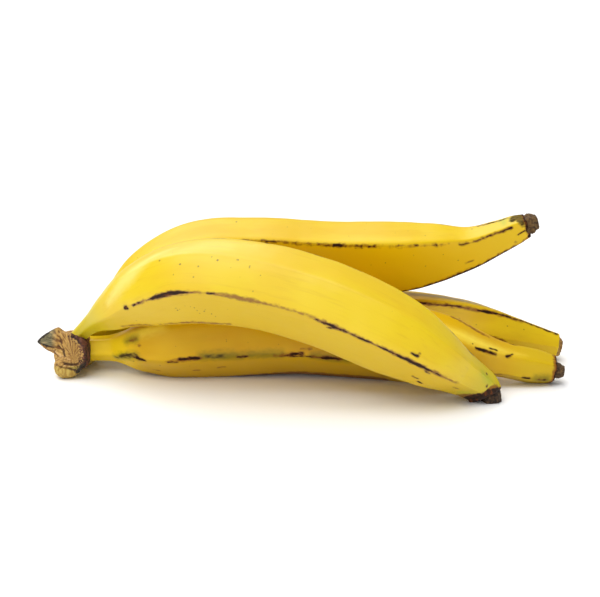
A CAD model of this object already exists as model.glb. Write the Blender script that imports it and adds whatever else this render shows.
# A hand of four plantain bananas, joined at a cut crown and lying on a pale floor.
# Shapes are worked out in millimetres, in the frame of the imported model, and made in metres.
from math import cos, radians, sin

import bmesh
import bpy
import numpy as np
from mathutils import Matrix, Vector


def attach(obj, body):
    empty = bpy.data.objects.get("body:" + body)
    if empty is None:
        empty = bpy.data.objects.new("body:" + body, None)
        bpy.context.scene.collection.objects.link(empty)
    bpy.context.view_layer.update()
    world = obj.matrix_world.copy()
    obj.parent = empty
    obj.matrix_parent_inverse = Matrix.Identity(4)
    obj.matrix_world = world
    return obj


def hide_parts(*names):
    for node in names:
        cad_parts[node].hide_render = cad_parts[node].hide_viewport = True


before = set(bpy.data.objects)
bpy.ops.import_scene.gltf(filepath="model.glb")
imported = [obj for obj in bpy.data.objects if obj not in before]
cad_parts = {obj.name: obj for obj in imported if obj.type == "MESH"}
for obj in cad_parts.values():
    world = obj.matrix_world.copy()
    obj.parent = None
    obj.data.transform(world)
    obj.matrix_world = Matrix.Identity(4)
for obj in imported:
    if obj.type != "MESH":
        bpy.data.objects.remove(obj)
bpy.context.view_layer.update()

MM = 0.001
FLOOR_SIZE = 12.0
FLOOR_COLOUR = (0.96, 0.96, 0.96, 1.0)

# The fingers. A spine row is (x, y, z, radius, turn). faces are the flat sides of the section,
# as (direction, distance in radii), in degrees from the front and turning up. crispness says
# how sharp its ridges are, tip how far its end is rounded over, and grid how fine its skin is.
FINGERS = {
    "front": {
        "spine": [
            (-128.8, 5.5, 21.6, 4, 12),
            (-119, 1.5, 31.5, 5.2, 12),
            (-106.7, -4, 40.8, 10.6, 12),
            (-88, -12, 53.5, 17, 12),
            (-60, -23, 63.5, 21, 12),
            (-24, -31, 64, 21.5, 2),
            (14, -39, 55.5, 21.5, 0),
            (50, -46, 40.5, 20.5, 0),
            (72, -49, 28.2, 16, 0),
            (86, -46, 18.7, 11.7, 0),
            (95.5, -42.5, 11.8, 9.6, 0),
            (100.5, -41, 7.5, 9, 0),
            (102.4, -42.3, 3.6, 8.8, 0),
        ],
        "faces": [(-40, 1), (22, 1), (70, 1), (125, 1), (185, 1), (250, 1)],
        "crispness": 11,
        "tip": 1.5,
        "grid": 0.62,
    },
    "low": {
        "spine": [
            (-128, 10, 13.5, 6.3, 4),
            (-108, 9, 14.5, 7, 4),
            (-92, 4.5, 16.5, 12.5, 6),
            (-74, 2, 19.5, 17.5, 2),
            (-45, 2, 22, 18.5, 3),
            (-5, 2, 24, 19, 2),
            (40, -3.5, 23.5, 19.8, -2),
            (78, -13.5, 20, 18, -10),
            (98, -15, 17, 13, -14),
            (114, -14, 14.2, 8.9, -14),
            (132, -13, 10, 8.6, -14),
            (143.5, -12.5, 7.8, 7, -14),
        ],
        "faces": [(-48, 1), (17, 1), (82, 1), (155, 1), (238, 1)],
        "crispness": 10,
        "tip": 1,
        "grid": 0.7,
    },
    "back": {
        "spine": [
            (-128, 28.5, 9.5, 5.8, 0),
            (-106, 35.5, 13, 8.5, 0),
            (-86, 42.5, 17, 15, 0),
            (-58, 46.5, 18.5, 18, 0),
            (-20, 48, 18.5, 18.5, 0),
            (20, 45.5, 18.5, 18.5, 0),
            (60, 39, 19.3, 19.3, 0),
            (86, 34.5, 18.5, 18.5, 7),
            (103, 31, 17.5, 16.6, 10),
            (118, 30.5, 14.8, 13.9, 14),
            (134, 31.5, 11.4, 10.8, 14),
            (151, 32, 8.2, 7.5, 14),
        ],
        "faces": [(-32, 1), (28, 1), (92, 1), (152, 1), (210, 1), (270, 1)],
        "crispness": 10,
        "tip": 1,
        "grid": 0.8,
    },
    "top": {
        "spine": [
            (-124.5, 21.3, 16.5, 5, 0),
            (-115, 22, 27.8, 6.7, 0),
            (-104, 24, 38.5, 10.3, 0),
            (-88, 25, 53.5, 14.5, 0),
            (-60, 29, 64.5, 18, 0),
            (-24, 30, 66, 18.5, 0),
            (14, 29, 64.5, 18.2, 0),
            (54, 26, 65.2, 17.9, 0),
            (78, 25, 67.8, 15, 0),
            (98, 24, 71, 10.6, 0),
            (114, 24, 77, 8.2, 0),
            (124, 24, 81.4, 7.2, 0),
            (130.2, 24, 83.6, 6, 0),
        ],
        "faces": [(-20, 0.85), (77, 0.95), (145, 1), (195, 1), (248, 0.95)],
        "crispness": 10,
        "tip": 1,
        "grid": 0.7,
    },
}

# The marks on each finger, as strokes of (along the spine, around, half width). along and
# half width are in millimetres, and around is in degrees, turned as the faces are. A half
# width below 0 leaves only the stroke's faint edge.
MARKS = {
    "front": {
        "dark": [
            [(51.2, -11, 1.3), (51.8, -12, 1.2)],
            [(57, -13, 0.2), (59, -12, 0.5)],
            [(62, -11.5, 0.4), (65, -11, 0.2)],
            [(69, -12, 0.3), (75, -11.5, 0.9), (82, -11, 1.1), (89, -11.5, 0.7), (95, -11, 0.1)],
            [(102, -10, 0.35), (105.5, -9.5, 0.4)],
            [(163, -10, 0.2), (168, -11, 0.6), (174, -11.5, 0.8), (182, -11, 0.3)],
            [(171, -16, 0.4), (173, -15, 0.5)],
            [(182, -11, 0.2), (191, -11.5, 0.7), (193, -11.5, 0.2)],
            [(193, -11, 0.2), (205, -11, 0.3), (214, -12.5, 0.9), (222, -12, 0.9), (233, -11, 0.2)],
            [(216.5, 0, 0.2), (220, 1, 0.7)],
            [(220, 1, 0.6), (220, 6, 0.2)],
            [(224, -48, 0.5), (227, -50, 0.3)],
            [(228, -57, 0.5), (230, -59, 0.3)],
            [(227, -19, 0.3), (229, -19, 0.35)],
            [(260, -66, 2.2), (262, -48, 4.0), (263, -26, 3.8), (266, -6, 2.6), (270, 10, 2.6)],
            [(271, -90, 3.0), (271, 0, 3.0), (271, 60, 2.6), (271, 100, 2.4)],
            [(262, 24, 0.6)],
            [(259, 61, 0.45)],
        ],
        "brown": [
            [(57, -13, 0.3), (66, -11, 0.6)],
            [(68, -12, 0.4), (82, -11.5, 1.3), (96, -11, 0.4)],
            [(96, -10.5, 0.2), (106, -9.5, 0.4), (113, -9.5, 0.8), (122, -9.5, 1.2), (132, -9, 0.6)],
            [(132, -9, 0.5), (143, -8, 0.2), (163, -9, 0.2)],
            [(163, -10, 0.5), (174, -11.5, 1.2), (184, -11, 0.4), (205, -11, 0.5)],
            [(205, -11, 0.6), (220, -12, 1.2), (244, -11, 0.2)],
            [(245, -33, 0.6), (248, -32, 0.3)],
            [(62, -70, 0.2), (92, -71, 0.7), (112, -70, 0.3)],
            [(35, -62, 0.5), (45, -66, 0.8), (58, -70, 0.3)],
            [(254, -66, 1.5), (260, -50, 4.0), (266, -10, 3.0), (269, 60, 2.0)],
        ],
        "tint": [[(256, 50, 0.5), (262, 42, 1.5)], [(252, -44, 0.5), (256, -36, 0.5)]],
        "stain": [],
        "pale": [
            [(40, 20, 0.5), (50, 30, 3.0), (60, 44, 4.5), (72, 60, 2.0), (84, 70, -2.0)],
        ],
        "specks": [
            (78, 43, 0.55), (88, 30, 0.55), (97, 26, 0.55), (106, 38, 0.6), (116, 43, 0.65),
            (122.6, 35, 0.45), (122.8, 37, 0.45), (85, 15, 0.4), (95, 10, 0.5), (103, 42, 0.4),
            (113, 30, 0.4), (119, 19, 0.4), (129, 27, 0.4), (80, 54, 0.35), (83, 56, 0.4),
            (127, 3, 0.4), (82, -39, 0.5), (82.5, -44, 0.5), (84, -42, 0.35), (91, -38, 0.35),
            (93, -40, 0.5), (94, -46, 0.5), (98, -47, 0.55), (95, -52, 0.45), (102, -51, 0.5),
            (99, -43, 0.4), (112, -36, 0.35), (49, -50, 0.4), (104, -56, 0.4), (88, -36, 0.3),
        ],
    },
    "low": {
        "dark": [
            [(37, -13, 0.2), (39, -14, 0.8), (43, -18, 0.5)],
            [(55, -18, 0.3), (60, -19, 0.5)],
            [(61, -14, 0.5), (66, -14, 0.8), (72, -15, 0.4)],
            [(93, -17, 0.4), (99, -18, 0.5)],
            [(119, -18, 0.2), (126, -15.5, 0.7), (133, -11.5, 0.3)],
            [(125, -18, 0.3), (139, -17, 0.3)],
            [(141, -18, 0.4), (148, -18, 0.9), (156, -18, 0.5)],
            [(228, 48, 0.4), (234, 47, 0.8), (239.5, 44, 0.5)],
            [(236, 59, 0.15), (240, 58, 0.3)],
            [(246, 46, 0.4), (248, 50, 0.6), (249.5, 60, 0.2)],
            [(258.5, -17, 0.5), (262, -12, 0.5)],
            [(267, -12, 0.2), (271, -15, 0.4)],
            [(278, -170, 2.0), (278, -60, 2.0), (278, 60, 2.0), (278, 170, 2.0)],
        ],
        "brown": [
            [(54, -17, 0.4), (62, -16, 0.9), (73, -15, 0.6)],
            [(115, -18, 0.3), (126, -15.5, 1.1), (134, -11.5, 0.4)],
            [(139, -18, 0.6), (156, -18, 0.9)],
            [(36, 29, 0.6), (39, 33, 0.4)],
            [(41, 14, 0.6)],
            [(45, -55, 0.4), (48, -56, 0.4)],
            [(68, -53, 0.5), (71, -54, 0.3)],
            [(82, -47, 0.5), (86, -46, 0.4)],
            [(132, -5, 0.3), (138, -5, 0.3)],
            [(240, -22, 0.8), (246, -22, 0.3)],
            [(90, -88, 2.0), (130, -84, 4.0), (180, -80, 4.0)],
            [(214, 114, 0.5), (226, 110, 0.7), (236, 106, 0.5)],
            [(277, -170, 2.4), (277, -60, 2.4), (277, 60, 2.4), (277, 170, 2.4)],
        ],
        "tint": [
            [(24, -30, 0.5), (31, -16, 0.8), (38, -10, 0.8)],
            [(73, -13, 0.8), (84, -14.5, 1.2), (96, -16, 0.8)],
            [(100, -15, 0.6), (120, -15.5, 0.6)],
            [(139, -16, 0.6), (150, -17, 1.4), (160, -18, 0.8)],
            [(34, 30, 0.5), (39, 31, 0.6)],
            [(266, -12, 0.8), (272, -15, 1.4)],
        ],
        "stain": [
            [(24, -30, 0.2), (30, -14, 0.5), (34, -9, 0.9), (38, -9, 0.7)],
            [(76, -14, 0.2), (86, -15, 0.3)],
        ],
        "pale": [
            [(34, 50, 0.5), (43, 46, 2.2), (54, 44, 0.4)],
            [(206, 74, 1.0), (224, 68, 3.0), (240, 64, 1.6), (258, 66, -2.0)],
        ],
        "specks": [
            (222, 30, 0.5), (226, 56, 0.5), (100, 5, 0.3), (88, 9, 0.3), (60, 8, 0.3),
            (36, -26, 0.4), (50, -30, 0.4), (66, -34, 0.4), (77, 20, 0.3), (112, 12, 0.3),
        ],
    },
    "back": {
        "dark": [
            [(200, 54, 0.2), (212, 52, 0.3), (232, 52.5, 0.2)],
            [(236, 52, 0.3), (240, 51.5, 0.9), (246, 54, 0.5)],
            [(246, 54, 0.3), (262, 58, 0.35), (284, 57, 0.3)],
        ],
        "brown": [
            [(190, 55, 0.4), (212, 52, 0.7), (240, 52, 0.8), (262, 57, 0.5)],
            [(242, -1, 0.8), (247, -5, 1.0), (252, -9, 0.5)],
        ],
        "tint": [[(90, 88, -1.5), (150, 90, 2.0), (216, 86, 4.0), (236, 80, 2.0), (254, 76, -1.0)]],
        "stain": [],
        "pale": [],
        "specks": [(252, 30, 0.4), (236, 20, 0.35), (262, 34, 0.4), (228, 30, 0.3)],
    },
    "top": {
        "dark": [
            [(108, 31, 0.0), (112, 31, 0.25), (116, 30.5, 0.0)],
            [(121, 30, 0.25), (124, 30, 0.05), (150, 29.5, 0.0), (161, 29, 0.1)],
            [(163, 29, 0.4), (167, 29, 0.65), (171, 28.5, 0.2)],
            [(176, 28, 0.4), (180, 28, 0.5)],
            [(184, 28, 0.3), (188, 28, 0.2)],
            [(199, 28, 0.15), (201, 28, 0.15)],
            [(210, 27.5, 0.1), (212, 27.5, 0.15)],
            [(220, 26.5, 0.1), (223, 26, 0.2)],
            [(236, 24, 0.1), (239, 23.5, 0.35), (242, 24, 0.05)],
            [(244, 25, -0.1), (250, 26.5, 0.05), (262, 25, 0.1), (268, 25, 0.2)],
            [(190, -70, 0.2), (206, -69, 0.5), (232, -67, 0.6), (256, -69, 0.6), (276, -74, 0.6)],
            [(270, -22, 0.4), (274, -14, 0.5)],
            [(250, 101, 0.1), (259, 101, 0.4), (268, 100, 0.2)],
            [(277, -170, 1.4), (277, -90, 1.6), (277, -20, 1.6), (277, 90, 1.2), (277, 170, 1.4)],
        ],
        "brown": [
            [(108, 31, 0.0), (130, 30, 0.1), (165, 29, 0.3), (190, 28, 0.1), (230, 25.5, -0.2)],
            [(240, 24, -0.1), (256, 26, 0.1), (268, 25, 0.3)],
            [(190, -70, 0.3), (232, -68, 1.0), (276, -74, 1.0)],
            [(238, -42, 0.2), (241, -44, 0.4)],
            [(267, -49, 0.4)],
        ],
        "tint": [[(265, 92, 1.5), (265, 60, 0.5)]],
        "stain": [
            [(270, 60, 1.4), (271, 92, 1.6)],
            [(274, 34, 2.0), (274, 64, 3.2), (274, 100, 2.8)],
            [(278, -170, 2.2), (278, -60, 2.2), (278, 30, 3.0), (278, 150, 2.2)],
        ],
        "pale": [],
        "specks": [
            (106, 90, 0.7), (135, 74, 0.5), (149, 74, 0.4), (246, 91, 0.5), (142, 82, 0.4),
            (118, 60, 0.4), (127, 45, 0.4), (199, 60, 0.35), (207, 70, 0.4), (217, 50, 0.35),
            (160, 60, 0.4), (172, 50, 0.35), (181, 75, 0.4), (193, 0, 0.4), (203, -10, 0.35),
            (215, -20, 0.4), (226, 5, 0.35), (185, -5, 0.35), (234, -25, 0.4), (209, 12, 0.35),
        ],
    },
}
MARK_KINDS = ("dark", "brown", "tint", "stain", "pale")

# Below this ridge, in degrees round the finger, the peel has the belly's tone.
RIDGE_BELOW = {"front": -9, "low": -15, "back": 60, "top": 28}

# How finely a spine is measured.
SPINE_SAMPLES = 600

# How a swept skin ends: the rings over its rounded edge, how thin it is after them, and how
# thin it is at its last ring, both as shares of the radius there.
CAP_RINGS = 8
CAP_EDGE = 0.65
CAP_MIDDLE = 0.1

# The unevenness of the skins, in layers of (height, size), and the height of a finger's
# ridges, in millimetres. RIDGE_SPREAD is in degrees.
SWELLINGS = [(0.3, 24), (0.12, 7)]
RIDGE_HEIGHT = 0.25
RIDGE_SPREAD = 3.5
CRUMBS = [(0.5, 2.2), (0.35, 0.9)]
BARK = [(0.4, 4), (0.25, 1.6)]

# The ridges within FAR_REACH degrees of the far side have one bruise from each of these
# places along the spine, or up to FAR_SLACK further on.
FAR_SIDE = 180
FAR_REACH = 85
FAR_BRUISES = range(70, 240, 24)
FAR_SLACK = 12

# The dried flower at each tip, swept the same way.
STUB_FACES = [(0, 1), (75, 1.05), (140, 0.95), (210, 1.05), (285, 0.95)]
STUBS = {
    "front": {
        "spine": [(103.8, -40.5, 7, 5), (105.3, -42.3, 3, 5.4), (106.2, -43.6, -1, 4.8)],
        "tip": 0.5,
    },
    "low": {
        "spine": [(141.5, -12.5, 8, 4.4), (146, -12.5, 7.4, 4.4), (149.4, -12.5, 7.1, 3.2)],
        "tip": 0.6,
    },
    "back": {
        "spine": [(149, 31.9, 8.5, 6), (151.6, 32.1, 8, 6), (152.1, 32.2, 7.9, 5.4)],
        "tip": 0.3,
    },
    "top": {
        "spine": [(129.5, 24, 83.4, 5), (133, 24, 84.4, 5.6), (135.6, 24, 85, 4.2)],
        "tip": 1.6,
    },
}
STUB_GRID = 0.35

# How far each stub shows the paler scar where its flower has broken off.
SCAR_SHARE = {"front": 0.0, "low": 0.1, "back": 1.0, "top": 0.2}

# The crown's rounded blocks: centre, half sizes and how square each is.
CUSHION = [
    ((-131.8, 5, 13.8), (11.3, 12, 10.6), 3),
    ((-130, 24, 9.3), (12, 14, 9.2), 2.7),
]
UNCUT_LUMPS = [
    ((-140, 12, 17.2), (12.7, 6, 8.6), 1.25),
    ((-134, -1.8, 6.1), (7, 6.2, 6.2), 2.3),
]
RIM_CENTRE = (-132.4, -5.5, 15)
RIM_HALF = (9, 10.8)
RIM_ARC = (76, -60)
RIM_BEADS = 9
BEAD = 2.1
KNIFE_POINT = np.array([-137.5, 5, 17])
KNIFE_FACING = np.array([-0.72, -0.66, 0.2])
KNIFE_FACING /= np.linalg.norm(KNIFE_FACING)
CROWN_GRID = 0.45

# Where the fibres of the cut face fan out from, how many strips go into one radian of the
# fan, and how long a strip's patches are in millimetres.
FAN_CENTRE = np.array([-129.5, -5, 13])
FAN_STRIPS = 9
FAN_LENGTH = 7

# The first seeds of the crown's noise. Finer layers have the next ones.
FIBRE_SEED = 41
BARK_SEED = 43

# The grooves torn across the crown, and the pale lips beside them, as (x, y, z, width).
GROOVES = [
    [(-150.2, 11.1, 15.8, 0.6), (-146.6, 9.4, 15.2, 1.1), (-142.4, 8, 14.6, 0.8)],
    [(-136.6, 3, 13.8, 0.8), (-135.6, 1.2, 12.2, 0.9), (-133.6, -2.2, 11.8, 0.4)],
    [(-135.8, -5.6, 10.8, 0.6), (-133.9, -7, 9.9, 1), (-128.3, -6.4, 9, 0.9), (-126.5, -6.4, 9.8, 0.5)],
    [(-139.2, -5, 8.6, 0.9), (-136.6, -7.2, 7.9, 0.8), (-130.9, -7.5, 6.9, 0.8), (-126, -7.4, 4.6, 1)],
    [(-139.5, 10.4, 24.2, 0.5), (-138, 6.1, 18.8, 0.7), (-136.1, 2.7, 14.4, 0.5)],
    [(-142.6, 8.3, 20.5, 0.5), (-139.4, 6.5, 16.2, 0.7), (-136.7, 3.1, 13.6, 0.4)],
    [(-134.7, 5.7, 24.3, 0.4), (-133.7, 1.3, 18.4, 0.5), (-131.7, -2, 14.7, 0.3)],
]
LIPS = [
    [(-146.4, 9.4, 13.4, 0.8), (-140.6, 7.1, 12.4, 0.9), (-138, 3.4, 11, 1), (-131.5, -5, 11.4, 0.7)],
    [(-141, 6.6, 9.6, 0.7), (-137.9, -5.7, 9.6, 0.7), (-135, -7.4, 8.8, 0.7), (-129.4, -6.9, 8, 0.6)],
    [(-150.5, 11.6, 18, 0.5), (-146, 10.2, 18.2, 0.7), (-142, 9, 18, 0.3)],
]

# The black edges over and under the flap, the black corner of the rim, and the part of the
# crown that is still green, in the same way.
FLAP_EDGE = [(-152.5, 12, 17.2, 1.3), (-148, 11.5, 21.2, 1.3), (-143.6, 12, 24.6, 0.9)]
FLAP_UNDER = [(-151.2, 11.4, 16, 0.9), (-147, 9.8, 15.9, 1.4), (-143, 8.6, 15.2, 0.8)]
DARK_CORNER = [(-121.8, -6, 11, 1.2), (-122.4, -6.6, 7, 2.8), (-125.4, -7, 3.6, 2.4)]
DARK_EDGES = [FLAP_EDGE, FLAP_UNDER, DARK_CORNER]
UNRIPE = [(-130.5, -7, 8, 1.2), (-125.6, -7.5, 6.9, 1.6)]

# The camera looks along +Y from a little above.
CAMERA_TARGET = Vector((0.0, 0.002, 0.046))
CAMERA_DISTANCE = 1.0
CAMERA_ELEVATION = 16.0
CAMERA_LENS = 105.26

# The soft studio lights: where each comes from, its spread in degrees and its power.
LIGHTS = {
    "key": ((-0.25, -0.25, 1.0), 60, 2.1),
    "back": ((-0.45, 0.9, 1.1), 45, 1.3),
    "fill": ((-0.5, -1.0, 0.45), 60, 0.65),
}
SURROUND = 0.35

FRONT = np.array([0.0, -1.0, 0.0])


def srgb(red, green, blue):
    """A colour read off as 0 to 255, as the linear colour a shader wants."""
    parts = np.array([red, green, blue]) / 255
    linear = np.where(parts <= 0.04045, parts / 12.92, ((parts + 0.055) / 1.055) ** 2.4)
    return (*linear.tolist(), 1.0)


def smooth_step(value, low, high):
    """0 at low, 1 at high, smooth between."""
    part = np.clip((value - low) / (high - low), 0, 1)
    return part * part * (3 - 2 * part)


def cloud(points, size, seed):
    """Smooth noise from -1 to 1, in blobs of about that size."""
    lattice = np.random.default_rng(seed).uniform(-1, 1, (32, 32, 32))
    place = np.asarray(points) / size
    cell = np.floor(place).astype(int)
    part = place - cell
    part = part * part * (3 - 2 * part)
    total = np.zeros(place.shape[:-1])
    for corner in np.ndindex(2, 2, 2):
        at = (cell + corner) % 32
        weight = np.prod(np.where(corner, part, 1 - part), axis=-1)
        total += weight * lattice[at[..., 0], at[..., 1], at[..., 2]]
    return total


def layered(points, layers, seed):
    """Noise in layers of (height, size), each with a seed of its own."""
    return sum(height * cloud(points, size, seed + i) for i, (height, size) in enumerate(layers))


def catmull_rom(rows, t):
    """The smooth curve through the rows at each t from 0 to 1, and its direction."""
    rows = np.asarray(rows, float)
    padded = np.vstack([2 * rows[0] - rows[1], rows, 2 * rows[-1] - rows[-2]])
    place = np.asarray(t) * (len(rows) - 1)
    first = np.minimum(place.astype(int), len(rows) - 2)
    part = (place - first)[:, None]
    a, b, c, d = (padded[first + i] for i in range(4))
    slope_in = (c - a) / 2
    slope_out = (d - b) / 2
    cubic = 2 * b - 2 * c + slope_in + slope_out
    square = -3 * b + 3 * c - 2 * slope_in - slope_out
    value = ((cubic * part + square) * part + slope_in) * part + b
    return value, (3 * cubic * part + 2 * square) * part + slope_in


def section_radius(angle, faces, crispness):
    """The radius of a rounded polygon at an angle in degrees, in radii."""
    total = 0
    for direction, distance in faces:
        lean = np.cos(np.radians(angle - direction))
        total = total + (np.maximum(0, lean) / distance) ** crispness
    return total ** (-1 / crispness)


def ridge_angles(faces, crispness):
    """Where the section stands furthest out, in degrees."""
    angle = np.arange(0, 360, 0.5)
    reach = section_radius(angle, faces, crispness)
    peak = (reach > np.roll(reach, 1)) & (reach >= np.roll(reach, -1))
    return angle[peak]


def angle_between(a, b):
    """The signed way round from b to a, in degrees."""
    return (a - b + 180) % 360 - 180


def ring_plan(length, grid, tip):
    """Each ring's place on the spine, how far past its end it is, and how much it shrinks."""
    steps = int(length / grid)
    bend = np.linspace(0, np.pi / 2, CAP_RINGS + 1)[1:]
    inward = np.linspace(CAP_EDGE, CAP_MIDDLE, CAP_RINGS)[1:]
    place = np.concatenate([np.linspace(0, 1, steps + 1), np.ones(len(bend) + len(inward))])
    past = np.concatenate([np.zeros(steps + 1), tip * np.sin(bend), np.full(len(inward), tip)])
    rounded = CAP_EDGE + (1 - CAP_EDGE) * np.cos(bend)
    shrink = np.concatenate([np.ones(steps + 1), rounded, inward])
    return place, past, shrink


def ring_axes(tangent):
    """The directions in each ring's plane that point to the front and up."""
    front = FRONT - (tangent @ FRONT)[:, None] * tangent
    front /= np.linalg.norm(front, axis=1, keepdims=True)
    return front, np.cross(front, tangent)


def sweep(shape, grid, rough):
    """The rings of a fine skin from root to tip, with where each point is on the finger."""
    rows = np.array([(*row, 0)[:5] for row in shape["spine"]], float)
    fine, _ = catmull_rom(rows, np.linspace(0, 1, SPINE_SAMPLES))
    length = np.linalg.norm(np.diff(fine[:, :3], axis=0), axis=1).sum()
    place, past, shrink = ring_plan(length, grid, shape["tip"])
    values, along = catmull_rom(rows, place)
    tangent = along[:, :3] / np.linalg.norm(along[:, :3], axis=1, keepdims=True)
    front, up = ring_axes(tangent)
    centre = values[:, :3] + tangent * past[:, None]
    distance = np.concatenate([[0], np.linalg.norm(np.diff(centre, axis=0), axis=1).cumsum()])

    sides = int(2 * np.pi * rows[:, 3].max() / grid)
    angle = np.linspace(0, 360, sides, endpoint=False)
    around = angle[None, :] - values[:, 4:5]
    turned = np.radians(angle)[None, :, None]
    out = np.cos(turned) * front[:, None] + np.sin(turned) * up[:, None]
    girth = values[:, 3:4] * shrink[:, None]
    reach = girth * section_radius(around, shape["faces"], shape["crispness"])
    points = centre[:, None] + reach[..., None] * out

    # The last rings are left smooth, and nothing goes under the table.
    bump = rough(points, distance[:, None], around)
    bump = bump * smooth_step(shrink, CAP_MIDDLE, 0.6)[:, None]
    points += bump[..., None] * out
    points[..., 2] = np.maximum(points[..., 2], 0)
    straight = np.stack([
        np.broadcast_to(distance[:, None], reach.shape),
        girth * np.cos(np.radians(around)),
        girth * np.sin(np.radians(around)),
    ], axis=-1)
    return {
        "points": points,
        "along": distance[:, None],
        "around": around,
        "girth": girth,
        "straight": straight,
    }


def skin_mesh(name, points):
    """A closed mesh through rings of points, each end drawn together in its middle."""
    rings, sides = points.shape[:2]
    ends = [points[0].mean(axis=0), points[-1].mean(axis=0)]
    vertices = np.vstack([points.reshape(-1, 3), ends]) * MM
    ring, side = np.meshgrid(np.arange(rings - 1), np.arange(sides), indexing="ij")
    after = (side + 1) % sides
    here = ring * sides
    ahead = here + sides
    corners = [here + side, ahead + side, ahead + after, here + after]
    quads = np.stack(corners, axis=-1).reshape(-1, 4)
    root = rings * sides
    tip = root + 1
    last = root - sides
    pairs = [(i, (i + 1) % sides) for i in range(sides)]
    fans = [(root, i, j) for i, j in pairs]
    fans += [(tip, last + j, last + i) for i, j in pairs]
    mesh = bpy.data.meshes.new(name)
    mesh.from_pydata(vertices.tolist(), [], quads.tolist() + fans)
    mesh.shade_smooth()
    return mesh


def paint(mesh, name, values):
    """Keeps a value for each vertex, for a material to read. The ends' two repeat the last."""
    values = np.asarray(values, float)
    kind = "FLOAT_VECTOR" if values.ndim > 1 and values.shape[-1] == 3 else "FLOAT"
    flat = values.reshape(-1, 3) if kind == "FLOAT_VECTOR" else values.reshape(-1)
    missing = len(mesh.vertices) - len(flat)
    if missing:
        flat = np.concatenate([flat, np.repeat(flat[-1:], missing, axis=0)])
    layer = mesh.attributes.new(name, kind, "POINT")
    layer.data.foreach_set("vector" if kind == "FLOAT_VECTOR" else "value", flat.ravel())


def add_piece(name, mesh, node, material):
    """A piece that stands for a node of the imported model."""
    piece = bpy.data.objects.new(name, mesh)
    bpy.context.scene.collection.objects.link(piece)
    mesh.materials.append(material)
    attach(piece, "root")
    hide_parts(node)
    return piece


def stroke_distance(skin, strokes, furthest=9.0):
    """How far each point of the skin is from the edge of the nearest stroke."""
    nearest = np.full(skin["around"].shape, furthest)
    for stroke in strokes:
        path = stroke if len(stroke) > 1 else stroke * 2
        for (a, turn_a, wide_a), (b, turn_b, wide_b) in zip(path, path[1:]):
            away = skin["along"] - a
            aside = np.radians(angle_between(skin["around"], turn_a)) * skin["girth"]
            run = b - a
            lean = np.radians(turn_b - turn_a) * skin["girth"]
            part = np.clip((away * run + aside * lean) / (run * run + lean * lean + 1e-6), 0, 1)
            gap = np.hypot(away - part * run, aside - part * lean)
            nearest = np.minimum(nearest, gap - wide_a - part * (wide_b - wide_a))
    return nearest


def far_bruises(shape, seed):
    """Thin broken strokes along the ridges that face away."""
    chance = np.random.default_rng(seed)
    strokes = []
    for ridge in ridge_angles(shape["faces"], shape["crispness"]):
        if abs(angle_between(ridge, FAR_SIDE)) > FAR_REACH:
            continue
        for place in FAR_BRUISES:
            start = place + chance.uniform(0, FAR_SLACK)
            half = chance.uniform(1.5, 7)
            widest = chance.uniform(-0.2, 0.8)
            lean = chance.uniform(-2, 2)
            middle = (start + half, ridge + lean, widest)
            strokes.append([(start, ridge, 0), middle, (start + 2 * half, ridge, 0)])
    return strokes


def peel_roughness(shape, seed):
    """The gentle unevenness of a finger: swellings, and ridges that stand out a little."""
    ridges = ridge_angles(shape["faces"], shape["crispness"])

    def rough(points, along, around):
        off = np.min([np.abs(angle_between(around, ridge)) for ridge in ridges], axis=0)
        raised = RIDGE_HEIGHT * np.exp(-((off / RIDGE_SPREAD) ** 2)) * smooth_step(along, 30, 70)
        return layered(points, SWELLINGS, seed) + raised

    return rough


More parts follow.
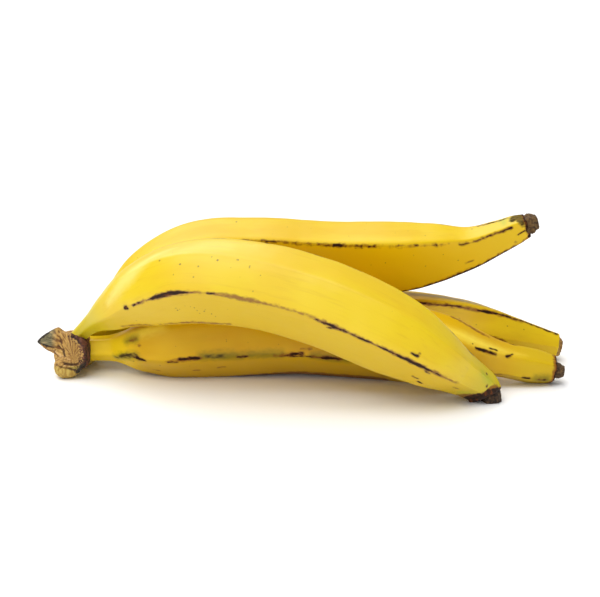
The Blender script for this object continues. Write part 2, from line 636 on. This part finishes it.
class Recipe:
    """A material, made node by node."""

    def __init__(self, name):
        self.material = bpy.data.materials.new(name)
        self.material.use_nodes = True
        self.tree = self.material.node_tree
        self.tree.nodes.clear()

    def feed(self, socket, value):
        """Links a socket to another node's output, or sets it to a constant."""
        if isinstance(value, bpy.types.NodeSocket):
            self.tree.links.new(value, socket)
        else:
            socket.default_value = value

    def node(self, kind, settings=None, **inputs):
        """A new node, with its settings and inputs. _ in an input's name stands for a space."""
        made = self.tree.nodes.new("ShaderNode" + kind)
        for name, value in (settings or {}).items():
            setattr(made, name, value)
        for name, value in inputs.items():
            self.feed(made.inputs[name.replace("_", " ")], value)
        return made

    def number(self, name):
        """A number that was painted on the mesh."""
        return self.node("Attribute", {"attribute_name": name}).outputs["Fac"]

    def vector(self, name):
        """A vector that was painted on the mesh, or its own position."""
        return self.node("Attribute", {"attribute_name": name}).outputs["Vector"]

    def sum(self, operation, a, b):
        """Two numbers put together, such as added or multiplied."""
        made = self.node("Math", {"operation": operation})
        self.feed(made.inputs[0], a)
        self.feed(made.inputs[1], b)
        return made.outputs[0]

    def stretch(self, vector, scale):
        """A vector multiplied by a scale for each axis."""
        made = self.node("VectorMath", {"operation": "MULTIPLY"})
        self.feed(made.inputs[0], vector)
        self.feed(made.inputs[1], scale)
        return made.outputs[0]

    def noise(self, vector, size, long=1.0, detail=3.0):
        """Noise in blobs of that size in millimetres, drawn out lengthways by long."""
        place = self.stretch(vector, (1 / (size * long), 1 / size, 1 / size))
        return self.node("TexNoise", Vector=place, Scale=1.0, Detail=detail).outputs["Fac"]

    def spots(self, vector, size):
        """The distance to the nearest of many scattered points, in cells of that size."""
        place = self.stretch(vector, (1 / size, 1 / size, 1 / size))
        return self.node("TexVoronoi", Vector=place, Scale=1.0).outputs["Distance"]

    def band(self, value, low, high, to_low=0.0, to_high=1.0):
        """to_low where value is low, to_high where it is high, smooth between."""
        made = self.node("MapRange", {"interpolation_type": "SMOOTHSTEP"})
        made.inputs["From Min"].default_value = low
        made.inputs["From Max"].default_value = high
        made.inputs["To Min"].default_value = to_low
        made.inputs["To Max"].default_value = to_high
        self.feed(made.inputs["Value"], value)
        return made.outputs["Result"]

    def mix(self, factor, a, b):
        """Colour a where the factor is 0, colour b where it is 1."""
        made = self.node("Mix", {"data_type": "RGBA"})
        self.feed(made.inputs["Factor"], factor)
        self.feed(made.inputs[6], a)
        self.feed(made.inputs[7], b)
        return made.outputs[2]

    def finish(self, **inputs):
        """The finished material, with these inputs on its shader."""
        shader = self.node("BsdfPrincipled")
        for name, value in inputs.items():
            self.feed(shader.inputs[name.replace("_", " ")], value)
        output = self.node("OutputMaterial")
        self.tree.links.new(shader.outputs["BSDF"], output.inputs["Surface"])
        return self.material


def peel_ground(recipe, look, mottle, streaks):
    """The peel's yellow before its marks, with another tone at the belly and at both ends."""
    along = recipe.number("along")
    colour = recipe.mix(recipe.band(mottle, 0.35, 0.65), look["base"], look["warm"])
    parts = {
        "fibre": recipe.band(streaks, 0.5, 0.8),
        "belly": recipe.number("belly"),
        "neck": recipe.band(along, *look["neck_span"], 1.0, 0.0),
        "far": recipe.band(along, *look["far_span"]),
    }
    for part, where in parts.items():
        share = recipe.sum("MULTIPLY", where, look[f"{part}_share"])
        colour = recipe.mix(share, colour, look[part])
    return colour


def peel_marks(recipe, look, colour, blur):
    """The soft marks over the peel, then its stains and bruises, and where those two are."""
    wobble = recipe.band(blur, 0.3, 0.7, -0.5, 0.5)
    for kind, (outer, inner, share) in SOFT_MARKS.items():
        edge = recipe.sum("ADD", recipe.number(kind), wobble)
        colour = recipe.mix(recipe.band(edge, outer, inner, 0.0, share), colour, look[kind])
    stained = recipe.band(recipe.sum("ADD", recipe.number("stain"), wobble), 1.2, -0.8, 0.0, 0.95)
    grey = recipe.mix(recipe.band(blur, 0.4, 0.6), *STAIN_COLOURS)
    colour = recipe.mix(stained, colour, grey)
    dark = recipe.sum("ADD", recipe.number("dark"), recipe.sum("MULTIPLY", wobble, 0.6))
    colour = recipe.mix(recipe.band(dark, 0.9, 0.1, 0.0, 0.5), colour, look["brown"])
    bruise = recipe.band(dark, 0.35, -0.25)
    core = recipe.mix(recipe.band(blur, 0.48, 0.7), *BRUISE_COLOURS)
    return recipe.mix(bruise, colour, core), recipe.sum("MAXIMUM", bruise, stained)


def peel_specks(recipe, look, colour, straight):
    """The specks that the photo shows, and many finer dots in patches."""
    speck = recipe.band(recipe.number("speck"), 0.25, -0.2, 0.0, 0.9)
    colour = recipe.mix(speck, colour, SPECK_COLOUR)
    dots = recipe.band(recipe.spots(straight, 7), 0.06, 0.03, 0.0, look["dots"])
    patch = recipe.band(recipe.noise(straight, 11), 0.45, 0.6)
    return recipe.mix(recipe.sum("MULTIPLY", dots, patch), colour, DOT_COLOUR)


def peel_material(name, look):
    """Waxy peel: mottled yellow, with another tone at the neck and far end, and its marks."""
    recipe = Recipe(name)
    straight = recipe.vector("straight")
    mottle = recipe.noise(straight, 16, long=2.5)
    streaks = recipe.noise(straight, 1.6, long=14, detail=2.0)
    blur = recipe.noise(straight, 1.5, long=2.2)

    colour = peel_ground(recipe, look, mottle, streaks)
    colour, dull = peel_marks(recipe, look, colour, blur)
    colour = peel_specks(recipe, look, colour, straight)

    grain = recipe.noise(straight, 0.9, detail=2.0)
    height = recipe.sum("ADD", grain, recipe.sum("MULTIPLY", streaks, 0.8))
    relief = recipe.node("Bump", Height=height, Strength=0.25, Distance=0.00012)
    return recipe.finish(
        Base_Color=colour,
        Roughness=recipe.sum("MAXIMUM", recipe.band(mottle, 0.3, 0.7, 0.36, 0.44), dull),
        Normal=relief.outputs["Normal"],
        Specular_IOR_Level=look["shine"],
        Subsurface_Weight=0.12,
        Subsurface_Radius=(1.0, 0.6, 0.12),
        Subsurface_Scale=0.002,
    )


# The soft marks, as the distance from a stroke's edge where each begins, where it is full,
# and how much it then covers.
SOFT_MARKS = {"pale": (4.5, -3.5, 0.75), "tint": (4.0, -2.0, 0.85), "brown": (1.0, -0.7, 0.85)}
STAIN_COLOURS = (srgb(52, 40, 16), srgb(104, 84, 36))
BRUISE_COLOURS = (srgb(40, 19, 3), srgb(96, 48, 8))
SPECK_COLOUR = srgb(112, 82, 8)
DOT_COLOUR = srgb(126, 92, 12)

# The colours and shares of a finger's peel, and what each finger has of its own.
PEEL_LOOK = {
    "base": srgb(228, 197, 10),
    "warm": srgb(225, 189, 5),
    "fibre": srgb(206, 166, 10),
    "tint": srgb(176, 178, 18),
    "brown": srgb(126, 68, 4),
    "pale": srgb(240, 224, 120),
    "belly": srgb(208, 172, 4),
    "belly_share": 0.7,
    "neck": srgb(200, 180, 18),
    "neck_share": 0.85,
    "neck_span": (14, 42),
    "far": srgb(180, 172, 14),
    "far_share": 0.45,
    "far_span": (240, 262),
    "fibre_share": 0.3,
    "dots": 0.35,
    "shine": 0.55,
}
PEEL_LOOKS = {
    "front": {},
    "low": {
        "base": srgb(214, 170, 3),
        "warm": srgb(208, 160, 2),
        "tint": srgb(100, 96, 8),
        "neck": srgb(240, 204, 24),
        "neck_share": 0.9,
        "neck_span": (28, 44),
        "belly": srgb(192, 152, 6),
        "pale": srgb(244, 220, 76),
        "far_share": 0.3,
        "dots": 0.5,
        "shine": 0.25,
    },
    "back": {
        "base": srgb(222, 186, 8),
        "warm": srgb(214, 174, 6),
        "tint": srgb(128, 100, 34),
        "belly_share": 0.0,
        "far_share": 0.1,
        "dots": 0.5,
        "shine": 0.25,
    },
    "top": {
        "base": srgb(224, 190, 6),
        "warm": srgb(220, 180, 4),
        "belly": srgb(232, 190, 6),
        "belly_share": 0.8,
        "far_share": 0.1,
        "dots": 0.9,
        "shine": 0.25,
    },
}


def make_finger(name, seed):
    """A finger's peel, with its marks painted on it as distances from their edges."""
    shape = FINGERS[name]
    skin = sweep(shape, shape["grid"], peel_roughness(shape, seed))
    mesh = skin_mesh(f"{name}_peel", skin["points"])
    paint(mesh, "straight", skin["straight"])
    paint(mesh, "along", np.broadcast_to(skin["along"], skin["around"].shape))
    below = angle_between(RIDGE_BELOW[name], skin["around"])
    paint(mesh, "belly", smooth_step(below, -1.5, 1.5) * smooth_step(-below, -120, -90))
    for kind in MARK_KINDS:
        far = far_bruises(shape, seed) if kind == "dark" else []
        paint(mesh, kind, stroke_distance(skin, MARKS[name][kind] + far))
    specks = [[speck] for speck in MARKS[name]["specks"]]
    paint(mesh, "speck", stroke_distance(skin, specks))
    material = peel_material(f"{name}_peel", {**PEEL_LOOK, **PEEL_LOOKS[name]})
    add_piece(f"{name}_peel", mesh, f"finger_{name}", material)


def stub_roughness(seed):
    """The crumbly surface of a dried flower."""
    def rough(points, along, around):
        return layered(points, CRUMBS, seed)

    return rough


def stub_material():
    """Black-brown crumbs, or a paler scar where the flower has broken off clean."""
    recipe = Recipe("dried_blossom")
    place = recipe.stretch(recipe.vector("position"), (1000, 1000, 1000))
    crumbs = recipe.noise(place, 1.4, detail=5.0)
    colour = recipe.mix(recipe.band(crumbs, 0.35, 0.5), srgb(26, 16, 10), srgb(62, 42, 24))
    colour = recipe.mix(recipe.band(crumbs, 0.56, 0.7, 0.0, 0.8), colour, srgb(112, 86, 52))
    scar = recipe.mix(recipe.band(crumbs, 0.35, 0.6), srgb(116, 78, 34), srgb(168, 130, 62))
    colour = recipe.mix(recipe.number("scar"), colour, scar)
    relief = recipe.node("Bump", Height=crumbs, Strength=0.8, Distance=0.0004)
    return recipe.finish(Base_Color=colour, Roughness=0.85, Normal=relief.outputs["Normal"])


def make_stub(name, seed, material):
    """The dried flower at a finger's tip."""
    shape = {**STUBS[name], "faces": STUB_FACES, "crispness": 8}
    skin = sweep(shape, STUB_GRID, stub_roughness(seed))
    mesh = skin_mesh(f"{name}_blossom", skin["points"])
    paint(mesh, "scar", np.full(skin["around"].shape, SCAR_SHARE[name]))
    add_piece(f"{name}_blossom", mesh, f"blossom_end_{name}", material)


def lump_mesh(centre, half, square):
    """A rounded block, as a ball pushed out towards its corners."""
    ball = bmesh.new()
    bmesh.ops.create_uvsphere(ball, u_segments=64, v_segments=40, radius=1)
    for vertex in ball.verts:
        parts = sum(abs(part) ** square for part in vertex.co)
        pushed = vertex.co * parts ** (-1 / square)
        vertex.co = Vector([(c + h * p) * MM for c, h, p in zip(centre, half, pushed)])
    return ball


def rim_beads():
    """The rim's beads, as lumps evenly spaced along its arc."""
    beads = []
    for turn in np.radians(np.linspace(*RIM_ARC, RIM_BEADS)):
        x, y, z = RIM_CENTRE
        centre = (x + RIM_HALF[0] * cos(turn), y, z + RIM_HALF[1] * sin(turn))
        beads.append((centre, (BEAD, BEAD, BEAD), 2))
    return beads


def joined(lumps):
    """The lumps in one mesh, each still a skin of its own."""
    together = bmesh.new()
    for block in lumps:
        lump = lump_mesh(*block)
        part = bpy.data.meshes.new("lump")
        lump.to_mesh(part)
        lump.free()
        together.from_mesh(part)
        bpy.data.meshes.remove(part)
    mesh = bpy.data.meshes.new("lumps")
    together.to_mesh(mesh)
    together.free()
    return mesh


def crown_blocks():
    """The crown's lumps as one skin: the cushion cut by the knife, and the rest left uncut."""
    cushion = bmesh.new()
    cushion.from_mesh(remeshed(joined(CUSHION), CROWN_GRID))
    cut = bmesh.ops.bisect_plane(
        cushion,
        geom=cushion.verts[:] + cushion.edges[:] + cushion.faces[:],
        plane_co=Vector(KNIFE_POINT) * MM,
        plane_no=Vector(KNIFE_FACING),
        clear_outer=True,
    )
    edges = [part for part in cut["geom_cut"] if isinstance(part, bmesh.types.BMEdge)]
    bmesh.ops.edgeloop_fill(cushion, edges=edges)
    mesh = joined(UNCUT_LUMPS + rim_beads())
    cushion.from_mesh(mesh)
    cushion.to_mesh(mesh)
    cushion.free()
    return remeshed(mesh, CROWN_GRID)


def remeshed(mesh, grid):
    """One closed skin round all the lumps of a mesh, with faces of about that size."""
    holder = bpy.data.objects.new("holder", mesh)
    bpy.context.scene.collection.objects.link(holder)
    wrap = holder.modifiers.new("wrap", "REMESH")
    wrap.mode = "VOXEL"
    wrap.voxel_size = grid * MM
    wrapped = holder.evaluated_get(bpy.context.evaluated_depsgraph_get())
    result = bpy.data.meshes.new_from_object(wrapped)
    bpy.data.objects.remove(holder)
    bpy.data.meshes.remove(mesh)
    return result


def vertex_arrays(mesh):
    """The places in millimetres and the normals of a mesh's vertices."""
    places = np.empty(len(mesh.vertices) * 3)
    mesh.vertices.foreach_get("co", places)
    normals = np.empty(len(mesh.vertices) * 3)
    mesh.vertex_normals.foreach_get("vector", normals)
    return places.reshape(-1, 3) / MM, normals.reshape(-1, 3)


def near_path(points, path):
    """How near each point is to a path of (x, y, z, width): its width on it, fading to 0."""
    nearness = np.zeros(len(points))
    path = np.array(path)
    for a, b in zip(path, path[1:]):
        run = b[:3] - a[:3]
        part = np.clip((points - a[:3]) @ run / (run @ run), 0, 1)
        gap = np.linalg.norm(points - a[:3] - part[:, None] * run, axis=1)
        width = a[3] + part * (b[3] - a[3])
        nearness = np.maximum(nearness, width * np.exp(-((gap / width) ** 2)))
    return nearness


def rim_distance(points):
    """How far each point is from the arc of the rim's beads, and at most 1 just outside it."""
    x, y, z = RIM_CENTRE
    right = (points[:, 0] - x) / RIM_HALF[0]
    up = (points[:, 2] - z) / RIM_HALF[1]
    turn = np.arctan2(up, right)
    start, end = sorted(np.radians(RIM_ARC))
    nearest = np.clip(turn, start, end)
    across = x + RIM_HALF[0] * np.cos(nearest)
    arc = np.stack([across, np.full(len(points), y), z + RIM_HALF[1] * np.sin(nearest)], axis=1)
    distance = np.linalg.norm(points - arc, axis=1)
    outside = (np.hypot(right, up) > 1) & (turn > start) & (turn < end) & (points[:, 1] < 6)
    return np.where(outside, np.minimum(distance, 1), distance)


def fan_place(points):
    """Where each point is in the fan of fibres on the cut: its way round and its way out."""
    across = np.cross([0, 0, 1], KNIFE_FACING)
    across /= np.linalg.norm(across)
    rise = np.cross(KNIFE_FACING, across)
    right = (points - FAN_CENTRE) @ across
    up = (points - FAN_CENTRE) @ rise
    strip = np.arctan2(up, right) * FAN_STRIPS
    outward = np.hypot(up, right) / FAN_LENGTH
    return np.stack([strip, outward, np.zeros(len(points))], axis=1)


def make_crown():
    """The crown: its blocks, roughened along the normals, with what the material reads."""
    mesh = crown_blocks()
    points, normals = vertex_arrays(mesh)
    height = (points - KNIFE_POINT) @ KNIFE_FACING
    on_cut = smooth_step(height, -1.2, -0.3) * smooth_step(normals @ KNIFE_FACING, 0.3, 0.8)
    fan = fan_place(points)
    from_rim = rim_distance(points)
    grooves = sum(near_path(points, path) for path in GROOVES)
    lips = sum(near_path(points, path) for path in LIPS)
    flap = smooth_step(-points[:, 0], 139.5, 144.5) * smooth_step(points[:, 2], 14.8, 16.4)

    coarse = cloud(fan, 1, FIBRE_SEED)
    fine = cloud(fan * (2.3, 1.4, 1), 1, FIBRE_SEED + 1)
    fibres = 0.6 * coarse + 0.35 * fine
    bark = layered(points, BARK, BARK_SEED)
    move = on_cut * (0.6 * fibres) + (1 - on_cut) * bark - grooves + 0.6 * lips
    points += normals * move[:, None]
    points[:, 2] = np.maximum(points[:, 2], 0.2)
    mesh.vertices.foreach_set("co", (points * MM).ravel())
    mesh.shade_smooth()

    painted = {
        "fan": fan,
        "cut": on_cut,
        "rim": from_rim,
        "groove": grooves,
        "lip": lips,
        "flap": flap,
        "edge": sum(near_path(points, path) for path in DARK_EDGES),
        "unripe": near_path(points, UNRIPE),
        "lobe": smooth_step(-points[:, 2], -8.5, -6.5),
    }
    for name, values in painted.items():
        paint(mesh, name, values)
    add_piece("crown_tissue", mesh, "crown", crown_material())


def crown_material():
    """Dry tan fibres, with a dark purplish rim, a grey-green flap and a pale lobe."""
    recipe = Recipe("crown_tissue")
    place = recipe.stretch(recipe.vector("position"), (1000, 1000, 1000))
    grain = recipe.node("TexNoise", Vector=recipe.vector("fan"), Scale=1.1, Detail=4.0).outputs["Fac"]
    blotch = recipe.noise(place, 3.5, detail=3.0)
    small = recipe.noise(place, 1.1, detail=3.0)
    upright = recipe.stretch(place, (0.7, 0.7, 0.12))
    stripes = recipe.node("TexNoise", Vector=upright, Scale=1.0, Detail=3.0).outputs["Fac"]
    sideways = recipe.stretch(place, (0.2, 0.5, 0.9))
    torn = recipe.node("TexNoise", Vector=sideways, Scale=1.0, Detail=4.0).outputs["Fac"]

    cut = recipe.mix(recipe.band(grain, 0.4, 0.52), srgb(112, 70, 26), srgb(182, 140, 68))
    cut = recipe.mix(recipe.band(grain, 0.55, 0.68, 0.0, 0.8), cut, srgb(214, 176, 104))
    bark = recipe.mix(recipe.band(small, 0.4, 0.6), srgb(134, 96, 46), srgb(186, 146, 78))
    colour = recipe.mix(recipe.number("cut"), bark, cut)
    lobe = recipe.mix(recipe.band(stripes, 0.4, 0.6), srgb(196, 168, 82), srgb(166, 130, 54))
    colour = recipe.mix(recipe.number("lobe"), colour, lobe)
    unripe = recipe.sum("ADD", recipe.number("unripe"), recipe.band(small, 0.3, 0.7, -0.2, 0.2))
    colour = recipe.mix(recipe.band(unripe, 0.3, 1.0, 0.0, 0.8), colour, srgb(152, 136, 48))
    flap = recipe.mix(recipe.band(torn, 0.38, 0.5), srgb(64, 58, 36), srgb(112, 104, 72))
    flap = recipe.mix(recipe.band(torn, 0.53, 0.66, 0.0, 0.9), flap, srgb(164, 140, 96))
    colour = recipe.mix(recipe.number("flap"), colour, flap)
    lip = recipe.sum("ADD", recipe.number("lip"), recipe.band(small, 0.3, 0.7, -0.3, 0.3))
    colour = recipe.mix(recipe.band(lip, 0.25, 0.75, 0.0, 0.8), colour, srgb(222, 182, 118))
    rim = recipe.sum("ADD", recipe.number("rim"), recipe.band(small, 0.3, 0.7, -0.7, 0.7))
    dark = recipe.mix(recipe.band(blotch, 0.4, 0.6), srgb(48, 24, 18), srgb(104, 60, 44))
    colour = recipe.mix(recipe.band(rim, 2.2, 1.4), colour, dark)
    groove = recipe.band(recipe.number("groove"), 0.15, 0.7, 0.0, 0.9)
    colour = recipe.mix(groove, colour, srgb(66, 38, 14))
    edge = recipe.sum("ADD", recipe.number("edge"), recipe.band(small, 0.3, 0.7, -0.3, 0.3))
    colour = recipe.mix(recipe.band(edge, 0.25, 0.7, 0.0, 0.95), colour, srgb(34, 26, 16))
    relief = recipe.node("Bump", Height=grain, Strength=0.6, Distance=0.0004)
    return recipe.finish(Base_Color=colour, Roughness=0.8, Normal=relief.outputs["Normal"])


def make_floor():
    """A pale floor that the hand lies on."""
    mesh = bpy.data.meshes.new("floor")
    half = FLOOR_SIZE / 2
    corners = [(-half, -half, 0), (half, -half, 0), (half, half, 0), (-half, half, 0)]
    mesh.from_pydata(corners, [], [(0, 1, 2, 3)])
    floor = bpy.data.objects.new("floor", mesh)
    bpy.context.scene.collection.objects.link(floor)
    recipe = Recipe("pale_floor")
    mesh.materials.append(recipe.finish(Base_Color=FLOOR_COLOUR, Roughness=0.9))


def make_camera():
    """The photo's point of view."""
    camera = bpy.data.cameras.new("camera")
    camera.lens = CAMERA_LENS
    camera.sensor_width = 36
    holder = bpy.data.objects.new("camera", camera)
    bpy.context.scene.collection.objects.link(holder)
    lift = radians(CAMERA_ELEVATION)
    holder.location = CAMERA_TARGET + CAMERA_DISTANCE * Vector((0, -cos(lift), sin(lift)))
    holder.rotation_euler = (radians(90 - CAMERA_ELEVATION), 0, 0)
    bpy.context.scene.camera = holder


def make_lights():
    """Big soft lights, and an even pale surround."""
    for name, (come_from, spread, power) in LIGHTS.items():
        light = bpy.data.lights.new(name, "SUN")
        light.angle = radians(spread)
        light.energy = power
        holder = bpy.data.objects.new(name, light)
        bpy.context.scene.collection.objects.link(holder)
        holder.rotation_euler = Vector(come_from).to_track_quat("Z", "Y").to_euler()
    world = bpy.data.worlds.new("studio")
    world.use_nodes = True
    background = world.node_tree.nodes["Background"]
    background.inputs["Color"].default_value = (1, 1, 1, 1)
    background.inputs["Strength"].default_value = SURROUND
    bpy.context.scene.world = world
    bpy.context.scene.view_settings.view_transform = "Standard"


make_camera()
make_floor()
make_lights()
for number, finger in enumerate(FINGERS):
    make_finger(finger, 10 * number + 1)
blossom = stub_material()
for number, finger in enumerate(STUBS):
    make_stub(finger, 10 * number + 101, blossom)
make_crown()
